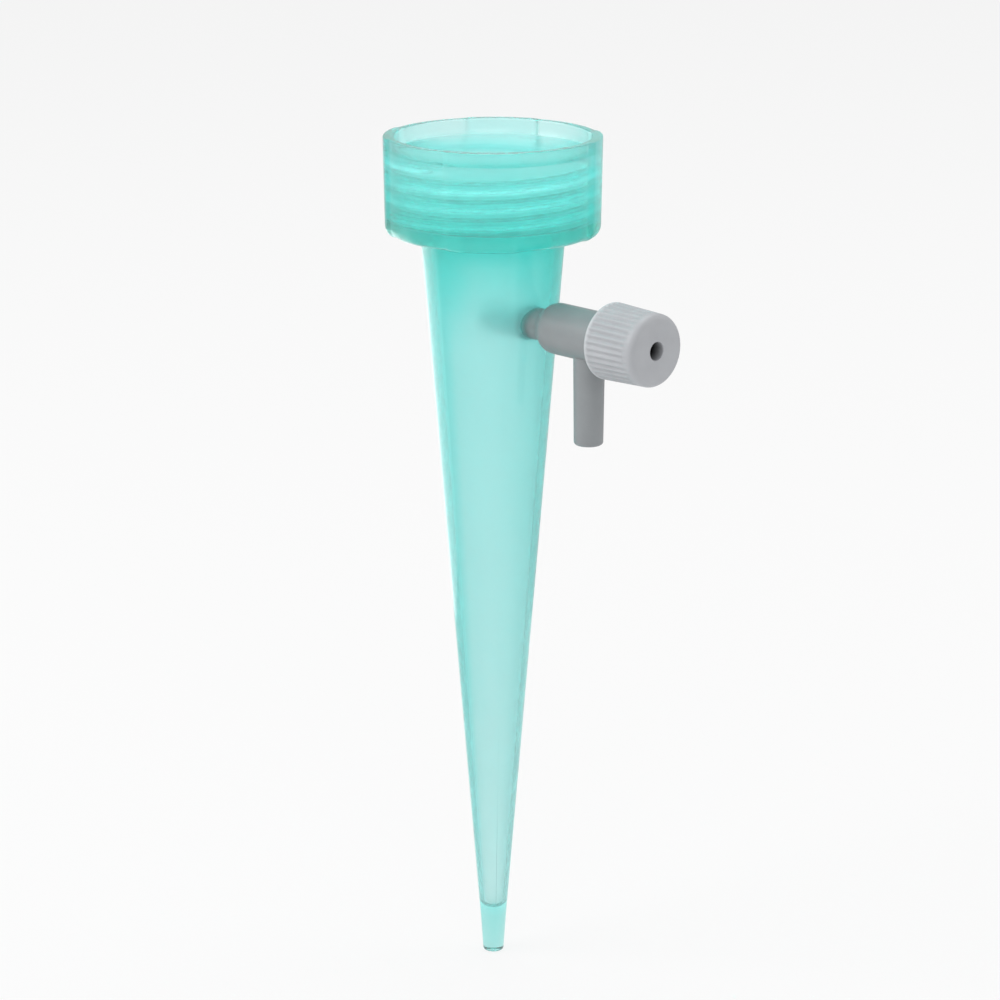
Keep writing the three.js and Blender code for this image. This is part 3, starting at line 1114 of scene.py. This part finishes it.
@dataclass
class DripValve:
    """Grey valve body with its spout, the ribbed knob that closes it, and the needle and seal inside.

    Attributes:
        line: Places along the valve.
    """

    line: ValveLine

    # Valve body
    nipple_radius: float = 2.3
    nipple_length: float = 8.2
    nipple_bore: float = 1.25
    nipple_light_end: Span = (7.9, 8.7)  # where the painted teal light on the nipple gives way to grey
    barb_radius: float = 2.75
    barb_length: float = 2.2
    neck_radius: float = 2.4
    shoulder_length: float = 2.0
    barrel_radius: float = 3.85
    barrel_length: float = 13.5
    threaded_length: float = 4.3
    threaded_root: float = 3.25
    chamber_radius: float = 2.35
    orifice_radius: float = 0.85
    orifice_length: float = 1.8
    seat_to_spout: float = 3.6
    edge: float = 0.2
    neck_fillet: float = 0.35
    shoulder_rounding: float = 0.55

    # Spout
    spout_offset: float = 7.1
    spout_root: float = 2.35
    spout_radius: float = 2.2
    spout_rounding: float = 0.5
    spout_bore: float = 1.25

    # Knob
    knob_back_radius: float = 5.77
    knob_front_radius: float = 5.42
    knob_rounding: float = 0.85
    knob_end_wall: float = 1.5
    skirt_clearance: float = 0.2
    hub_length: float = 5.3
    hub_wall: float = 0.75
    hole_radius: float = 1.37
    hole_edge: float = 0.15
    hole_shade: Span = (0.4, 2.0)  # depths between which the hole darkens
    ribs: int = 36
    rib_depth: float = 0.24
    bead_highlight: float = 0.3
    rib_end_place: float = 7.3
    rib_fade: float = 0.4

    # Feed thread
    feed_pitch: float = 1.2
    feed_height: float = 0.5
    feed_root_width: float = 0.72
    feed_crest_width: float = 0.28
    feed_crest_clearance: float = 0.2
    feed_rounding: float = 0.06
    feed_run_out: float = math.radians(60)
    feed_end_gap: float = 0.3
    knob_thread_offset: float = 1.5  # turns from the start of the body's thread to that of the knob's

    # Needle and seal
    needle_tip_radius: float = 0.35
    needle_radius: float = 1.7
    land_radius: float = 2.15
    land_length: float = 0.6
    groove_clearance: float = 0.1
    groove_depth: float = 0.72
    press_radius: float = 1.28
    press_length: float = 2.4

    # Mesh
    body_edge: float = 2.0
    knob_edge: float = 1.2
    columns_per_rib: int = 12
    needle_columns: int = 72
    ring_segments: int = 24

    @property
    def barrel_end(self) -> float:
        """Outer end of the barrel, where its thread begins."""
        return self.line.threaded_end - self.threaded_length

    @property
    def spout_axis(self) -> float:
        """Place of the spout along the valve."""
        return self.barrel_end - self.barrel_length + self.spout_offset

    @property
    def spout_reach(self) -> float:
        """Length of the spout from the valve's axis."""
        return self.line.axis - self.line.spout_end

    @property
    def skirt_radius(self) -> float:
        """Inside of the knob's skirt."""
        return self.barrel_radius + self.skirt_clearance

    @property
    def half_ridge(self) -> float:
        """Half the width of the feed thread at its root."""
        return self.feed_root_width / 2

    @property
    def feed_start(self) -> float:
        """Place of the inner end of the body's feed thread."""
        return self.barrel_end + self.feed_end_gap + self.half_ridge

    def body_outline(self) -> list[Corner]:
        """Outline of the valve body, out along its outside and back along its bore.

        Returns:
            Corners of a closed outline.
        """
        start, end = self.line.nipple_end, self.line.threaded_end
        barb_back = start + self.nipple_length
        shoulder_end = self.barrel_end - self.barrel_length
        shoulder_start = shoulder_end - self.shoulder_length
        seat = self.spout_axis - self.seat_to_spout
        seat_end = seat + self.chamber_radius - self.orifice_radius
        return [
            Corner(self.nipple_radius, start, self.edge),
            Corner(self.nipple_radius, barb_back - self.barb_length),
            Corner(self.barb_radius, barb_back, self.edge / 2),
            Corner(self.neck_radius, barb_back),
            Corner(self.neck_radius, shoulder_start, self.neck_fillet),
            Corner(self.barrel_radius, shoulder_end, self.shoulder_rounding),
            Corner(self.barrel_radius, self.barrel_end, self.edge),
            Corner(self.threaded_root, self.barrel_end),
            Corner(self.threaded_root, end, self.edge),
            Corner(self.chamber_radius, end, self.edge),
            Corner(self.chamber_radius, seat_end),
            Corner(self.orifice_radius, seat),
            Corner(self.orifice_radius, seat - self.orifice_length),
            Corner(self.nipple_bore, seat - self.orifice_length),
            Corner(self.nipple_bore, start, self.edge),
        ]

    def spout(self) -> BMesh:
        """Spout along the valve's own +X, rooted in the barrel's wall.

        Returns:
            A closed mesh in the valve's own frame.
        """
        root = (self.chamber_radius + self.barrel_radius) / 2
        pipe = turned([
            Corner(0, root),
            Corner(self.spout_root, root),
            Corner(self.spout_root, self.barrel_radius),
            Corner(self.spout_radius, self.spout_reach, self.spout_rounding),
            Corner(0, self.spout_reach),
        ], BAR_COLUMNS)
        return laid_along_x(pipe, self.spout_axis)

    def feed_thread(self, surface: float, bite: float, crest: float, start: float, end: float) -> BMesh:
        """Ridge of the feed thread, on the barrel's end or in the knob's skirt.

        Args:
            surface: Radius of the wall that it stands on.
            bite: How far it is rooted in that wall, outwards.
            crest: Radius of its crest.
            start: Place of its inner end.
            end: Place of its outer end.

        Returns:
            A closed mesh.
        """
        return ScrewRidge(
            anchor=surface + bite,
            crest=crest,
            surface=surface,
            rounding=self.feed_rounding,
            root_width=self.feed_root_width,
            crest_width=self.feed_crest_width,
            pitch=self.feed_pitch,
            start=start,
            end=end,
            run_out=self.feed_run_out,
        ).build()

    def body(self) -> Object:
        """Build the valve body.

        Returns:
            The piece.
        """
        form = turned(self.body_outline(), closed=True, longest=self.body_edge)
        made = raw_object("valve_moulding", form)
        bore = laid_along_x(round_bar(self.spout_bore, 0, self.spout_reach + OVERSHOOT), self.spout_axis)
        ridge = self.feed_thread(
            self.threaded_root,
            -BITE,
            self.threaded_root + self.feed_height,
            self.feed_start,
            self.line.threaded_end - self.feed_end_gap - self.half_ridge,
        )
        combine(made, Cut.JOIN, self.spout())
        combine(made, Cut.TAKE_AWAY, bore)
        combine(made, Cut.JOIN, ridge)
        # Painted light: the nipple inside the spike is painted pale teal, for the teal light that reaches
        # it through the plastic
        paint(made, Mark.NIPPLE_LIGHT, lambda place: 1 - slope(place.z, *self.nipple_light_end))
        self.set_in_place(made)
        return hand_over(made, "valve_body", "valve", VALVE_SHADED_GREY.material())

    def knob_outline(self) -> list[Corner]:
        """Outline of the knob, along its ribs and face and back through hole, hub and skirt.

        Returns:
            Corners of a closed outline.
        """
        back, face = self.line.knob_back, self.line.knob_face
        end_wall = face - self.knob_end_wall
        hub_end = end_wall - self.hub_length
        hub_radius = self.hole_radius + self.hub_wall
        rib_start = back + self.bead_highlight + self.rib_fade
        rib_end = back + self.rib_end_place

        def taper(place: float) -> float:
            """Outside radius at a place along the knob."""
            return between(place, back, face, self.knob_back_radius, self.knob_front_radius)

        return [
            Corner(self.skirt_radius, back, self.edge),
            Corner(self.knob_back_radius, back, self.edge),
            Corner(taper(back + self.bead_highlight), back + self.bead_highlight),
            Corner(taper(rib_start), rib_start, mark=Mark.RIB),
            Corner(taper(rib_end), rib_end, mark=Mark.RIB),
            Corner(taper(rib_end + self.rib_fade), rib_end + self.rib_fade),
            Corner(self.knob_front_radius, face, self.knob_rounding),
            Corner(self.hole_radius, face, self.hole_edge),
            Corner(self.hole_radius, hub_end, self.edge),
            Corner(hub_radius, hub_end, self.edge),
            Corner(hub_radius, end_wall),
            Corner(self.skirt_radius, end_wall),
        ]

    def groove(self, angle: float) -> float:
        """0 on the crest of a rib and 1 at the bottom of the groove beside it."""
        return (1 - math.cos(self.ribs * angle)) / 2

    def hole_shade_share(self, place: Vector) -> float:
        """1 deep in the knob's hole, and 0 at its edge and on the rest of the knob."""
        # Painted shade: darker the deeper into the hole
        in_hole = math.hypot(place.x, place.y) < self.hole_radius + self.hole_edge / 2
        return in_hole * slope(self.line.knob_face - place.z, *self.hole_shade)

    def bead_highlight_share(self, place: Vector) -> float:
        """1 on the plain bead at the knob's back, and 0 past it."""
        # Painted highlight on the bead
        return 1 - slope(place.z - self.line.knob_back, self.bead_highlight, self.bead_highlight + self.rib_fade)

    def knob(self) -> Object:
        """Build the ribbed knob.

        Returns:
            The piece.
        """
        columns = self.ribs * self.columns_per_rib
        form = turned(self.knob_outline(), columns, closed=True, longest=self.knob_edge)
        rib = form.verts.layers.float[Mark.RIB.layer]
        for vert in form.verts:
            depth = self.groove(angle_of(vert)) * vert[rib]
            push(vert, -self.rib_depth * depth)
            vert[rib] -= depth
        made = raw_object("ribbed_knob", form)
        ridge = self.feed_thread(
            self.skirt_radius,
            BITE,
            self.threaded_root + self.feed_crest_clearance,
            self.feed_start + self.knob_thread_offset * self.feed_pitch,
            self.line.knob_face - self.knob_end_wall - self.half_ridge,
        )
        combine(made, Cut.JOIN, ridge)
        # Painted shade deep in the hole
        paint(made, Mark.HOLE, self.hole_shade_share)
        # Painted highlight on the back bead
        paint(made, Mark.BEAD_HIGHLIGHT, self.bead_highlight_share)
        self.set_in_place(made)
        return hand_over(made, "valve_knob", "knob", KNOB_GREY.material())

    def needle(self) -> Object:
        """Build the needle.

        Returns:
            The piece.
        """
        tip, end = self.line.needle_tip, self.line.needle_end
        groove_start = self.line.ring_back - self.groove_clearance
        groove_end = self.line.ring_front + self.groove_clearance
        groove_radius = self.land_radius - self.groove_depth
        land_start = groove_start - self.land_length
        shoulder = end - self.press_length
        form = turned([
            Corner(0, tip),
            Corner(self.needle_tip_radius, tip, self.edge / 2),
            Corner(self.needle_radius, tip + self.needle_radius - self.needle_tip_radius),
            Corner(self.needle_radius, land_start - (self.land_radius - self.needle_radius)),
            Corner(self.land_radius, land_start),
            Corner(self.land_radius, groove_start, self.edge / 2),
            Corner(groove_radius, groove_start),
            Corner(groove_radius, groove_end),
            Corner(self.land_radius, groove_end, self.edge / 2),
            Corner(self.land_radius, shoulder, self.edge),
            Corner(self.press_radius, shoulder),
            Corner(self.press_radius, end, self.edge),
            Corner(0, end),
        ], self.needle_columns)
        made = raw_object("needle", form)
        self.set_in_place(made)
        return hand_over(made, "needle_stem", "needle", DARK_PLASTIC.material())

    def seal(self) -> Object:
        """Build the rubber ring in the needle's groove.

        Returns:
            The piece.
        """
        section = (self.line.ring_front - self.line.ring_back) / 2
        low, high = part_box("stem_o_ring")
        centre = (high.z - low.z) / 2 / MM - section
        place = Matrix.Translation((centre, 0, (self.line.ring_front + self.line.ring_back) / 2))
        form = bmesh.new()
        upright = place @ Matrix.Rotation(QUARTER_TURN, 4, "X")
        circle = bmesh.ops.create_circle(form, segments=self.ring_segments, radius=section, matrix=upright)
        spin(form, circle["verts"] + form.edges[:], FULL_TURN, self.needle_columns, merge=True)
        made = raw_object("seal_ring", close_up(form))
        self.set_in_place(made)
        return hand_over(made, "stem_o_ring", "needle", BLACK_RUBBER.material())

    def set_in_place(self, made: Object) -> None:
        """Turn a piece from the valve's own frame, with its axis along Z, to the object's."""
        turn = Matrix.Rotation(QUARTER_TURN, 4, "Y")
        made.data.transform(Matrix.Translation((0, 0, self.line.axis)) @ turn)

    def build(self) -> list[Object]:
        """Build and dress the valve.

        Returns:
            Its pieces.
        """
        return [self.body(), self.knob(), self.needle(), self.seal()]


@dataclass(frozen=True)
class PhotoCamera:
    """Camera at the photograph's place.

    Attributes:
        bearing: Direction of the camera from the spike's axis, from +X.
        reach: Level distance from the axis.
        height: Height over the tip.
        pitch: How far it looks down.
        swing: How far it looks to the right of the axis.
        focal_pixels: Focal length in pixels of the photograph.
        nearest: Distance from which it sees.
    """

    bearing: float = math.radians(-43.6)
    reach: float = 495.9
    height: float = 217.58
    pitch: float = math.radians(16.063)
    swing: float = math.radians(0.122)
    focal_pixels: float = 3346.4
    nearest: float = 10.0

    def build(self) -> None:
        """Make the camera and set it as the scene's."""
        lens = bpy.data.cameras.new("photo_camera")
        lens.sensor_width = SENSOR_WIDTH
        lens.lens = self.focal_pixels / IMAGE_PIXELS * SENSOR_WIDTH
        lens.clip_start = self.nearest * MM
        camera = bpy.data.objects.new("photo_camera", lens)
        outwards = Vector((math.cos(self.bearing), math.sin(self.bearing), 0))
        camera.location = (outwards * self.reach + Vector((0, 0, self.height))) * MM
        level = Matrix.Rotation(-self.swing, 3, "Z") @ -outwards
        gaze = level * math.cos(self.pitch) - Vector((0, 0, math.sin(self.pitch)))
        camera.rotation_euler = gaze.to_track_quat("-Z", "Y").to_euler()
        bpy.context.scene.collection.objects.link(camera)
        bpy.context.scene.camera = camera


@dataclass(frozen=True)
class Softbox:
    """Square studio lamp that faces the object.

    Attributes:
        name: Name of the lamp.
        bearing: Direction to the right of the camera, in degrees.
        elevation: Height over the horizon, in degrees.
        distance: Distance from the object.
        size: Length of a side.
        level: Share of full light that it gives a surface that faces it.
    """

    name: str
    bearing: float
    elevation: float
    distance: float
    size: float
    level: float

    def build(self, camera: PhotoCamera, aim: Vector) -> None:
        """Hang the lamp.

        Args:
            camera: Camera from which the bearing counts.
            aim: Point that it faces, in metres.
        """
        lamp = bpy.data.lights.new(self.name, "AREA")
        lamp.size = self.size * MM
        lamp.energy = self.level * (math.pi * self.distance * MM) ** 2
        angle = camera.bearing + math.radians(self.bearing)
        rise = math.radians(self.elevation)
        level = Vector((math.cos(angle), math.sin(angle), 0)) * math.cos(rise)
        towards = level + Vector((0, 0, math.sin(rise)))
        hung = bpy.data.objects.new(self.name, lamp)
        hung.location = aim + towards * self.distance * MM
        hung.rotation_euler = towards.to_track_quat("Z", "Y").to_euler()
        hung.visible_camera = False
        bpy.context.scene.collection.objects.link(hung)


@dataclass(frozen=True)
class GlossCard:
    """Upright studio card that shows only in gloss.

    Attributes:
        name: Name of the card.
        bearing: Direction to the right of the camera, in degrees.
        distance: Distance from the spike's axis.
        width: Its width.
        height: Its height over the floor.
        level: Its brightness, where 1 is white.
    """

    name: str
    bearing: float
    distance: float
    width: float
    height: float
    level: float

    def build(self, camera: PhotoCamera) -> None:
        """Stand the card on the floor.

        Args:
            camera: Camera from which the bearing counts.
        """
        form = bmesh.new()
        bmesh.ops.create_grid(form, x_segments=1, y_segments=1, size=UNIT_SQUARE)
        turn = Matrix.Rotation(camera.bearing + math.radians(self.bearing), 4, "Z")
        upright = Matrix.Rotation(QUARTER_TURN, 4, "Y") @ Matrix.Diagonal((self.height, self.width, 1, 1))
        place = turn @ Matrix.Translation((self.distance, 0, self.height / 2)) @ upright
        bmesh.ops.transform(form, matrix=Matrix.Scale(MM, 4) @ place, verts=form.verts[:])
        card = raw_object(self.name, form)
        material = bpy.data.materials.new(self.name)
        sheet = empty_sheet(material)
        out = sheet.nodes.new("ShaderNodeOutputMaterial")
        glow = sheet.nodes.new("ShaderNodeEmission")
        glow.inputs["Strength"].default_value = self.level
        sheet.links.new(glow.outputs[0], out.inputs["Surface"])
        card.data.materials.append(material)
        card.visible_camera = False
        card.visible_diffuse = False
        card.visible_transmission = False
        card.visible_volume_scatter = False
        card.visible_shadow = False


@dataclass(frozen=True)
class Studio:
    """Plain pale floor, white surroundings, soft lamps and cards.

    Attributes:
        camera: The camera.
        white: Level of the background.
        room_level: Light from all round.
        floor_shade: Colour of the floor.
        floor_glow: Share of the background's own level in the floor as it is seen.
        floor_size: Half a side of the floor.
        floor_gap: Gap between floor and tip.
        lamps: The lamps.
        cards: The cards.
    """

    camera: PhotoCamera
    white: float = 0.95
    room_level: float = 0.58
    floor_shade: float = 0.9
    floor_glow: float = 0.86
    floor_size: float = 4000.0
    floor_gap: float = 0.02
    lamps: tuple[Softbox, ...] = (
        Softbox("key_lamp", bearing=-78, elevation=40, distance=900, size=600, level=0.45),
        Softbox("side_lamp", bearing=100, elevation=25, distance=900, size=500, level=0.15),
        Softbox("front_lamp", bearing=0, elevation=35, distance=1000, size=700, level=0.2),
        Softbox("top_lamp", bearing=170, elevation=75, distance=900, size=600, level=0.3),
    )
    cards: tuple[GlossCard, ...] = (
        GlossCard("bright_card", bearing=-135, distance=150, width=200, height=77, level=1.9),
        GlossCard("left_card", bearing=-135, distance=170, width=240, height=280, level=0.6),
        GlossCard("right_card", bearing=140, distance=150, width=400, height=280, level=0.7),
    )

    def seen(self, sheet: NodeTree) -> NodeSocket:
        """Tell the rays that show a surface from those that only light it.

        Args:
            sheet: Nodes to add to.

        Returns:
            1 for rays from the camera, from a mirror or through clear plastic, and 0 for the rest.
        """
        path = sheet.nodes.new("ShaderNodeLightPath")
        last = path.outputs["Is Camera Ray"]
        for kind in ("Is Glossy Ray", "Is Transmission Ray"):
            larger = sheet.nodes.new("ShaderNodeMath")
            larger.operation = "MAXIMUM"
            sheet.links.new(last, larger.inputs[0])
            sheet.links.new(path.outputs[kind], larger.inputs[1])
            last = larger.outputs[0]
        return last

    def world(self) -> None:
        """Make the surroundings."""
        world = bpy.data.worlds.new("studio_room")
        sheet = empty_sheet(world)
        out = sheet.nodes.new("ShaderNodeOutputWorld")
        mix = sheet.nodes.new("ShaderNodeMixShader")
        sheet.links.new(self.seen(sheet), mix.inputs[0])
        for socket, level in ((1, self.room_level), (2, self.white)):
            light = sheet.nodes.new("ShaderNodeBackground")
            light.inputs["Color"].default_value = (level, level, level, 1)
            sheet.links.new(light.outputs[0], mix.inputs[socket])
        sheet.links.new(mix.outputs[0], out.inputs["Surface"])
        bpy.context.scene.world = world

    def floor(self) -> None:
        """Lay the floor."""
        form = bmesh.new()
        bmesh.ops.create_grid(form, x_segments=1, y_segments=1, size=self.floor_size)
        floor = raw_object("floor", form)
        floor.data.transform(Matrix.Translation((0, 0, -self.floor_gap)))
        floor.data.transform(Matrix.Scale(MM, 4))
        material = bpy.data.materials.new("pale_floor")
        sheet = empty_sheet(material)
        out = sheet.nodes.new("ShaderNodeOutputMaterial")
        coat = sheet.nodes.new("ShaderNodeBsdfDiffuse")
        coat.inputs["Color"].default_value = (self.floor_shade,) * 3 + (1,)
        glow = sheet.nodes.new("ShaderNodeEmission")
        glow.inputs["Color"].default_value = (self.white,) * 3 + (1,)
        share = sheet.nodes.new("ShaderNodeMath")
        share.operation = "MULTIPLY"
        share.inputs[1].default_value = self.floor_glow
        sheet.links.new(self.seen(sheet), share.inputs[0])
        mix = sheet.nodes.new("ShaderNodeMixShader")
        sheet.links.new(share.outputs[0], mix.inputs[0])
        sheet.links.new(coat.outputs[0], mix.inputs[1])
        sheet.links.new(glow.outputs[0], mix.inputs[2])
        sheet.links.new(mix.outputs[0], out.inputs["Surface"])
        floor.data.materials.append(material)

    def build(self) -> None:
        """Make the surroundings, the floor, the lamps and the cards."""
        self.world()
        self.floor()
        aim = (CAD_BOX[0] + CAD_BOX[1]) / 2
        for lamp in self.lamps:
            lamp.build(self.camera, aim)
        for card in self.cards:
            card.build(self.camera)
        bpy.context.scene.view_settings.view_transform = "Standard"


def main() -> None:
    """Build the camera, the studio and the object."""
    logging.basicConfig(level=logging.INFO, format="%(name)s: %(message)s")
    camera = PhotoCamera()
    camera.build()
    Studio(camera).build()
    line = ValveLine.from_frame()
    for assembly in (Spike(line), DripValve(line)):
        for piece in assembly.build():
            log.info("%s: %d faces", piece.name, len(piece.data.polygons))


if __name__ == "__main__":
    main()
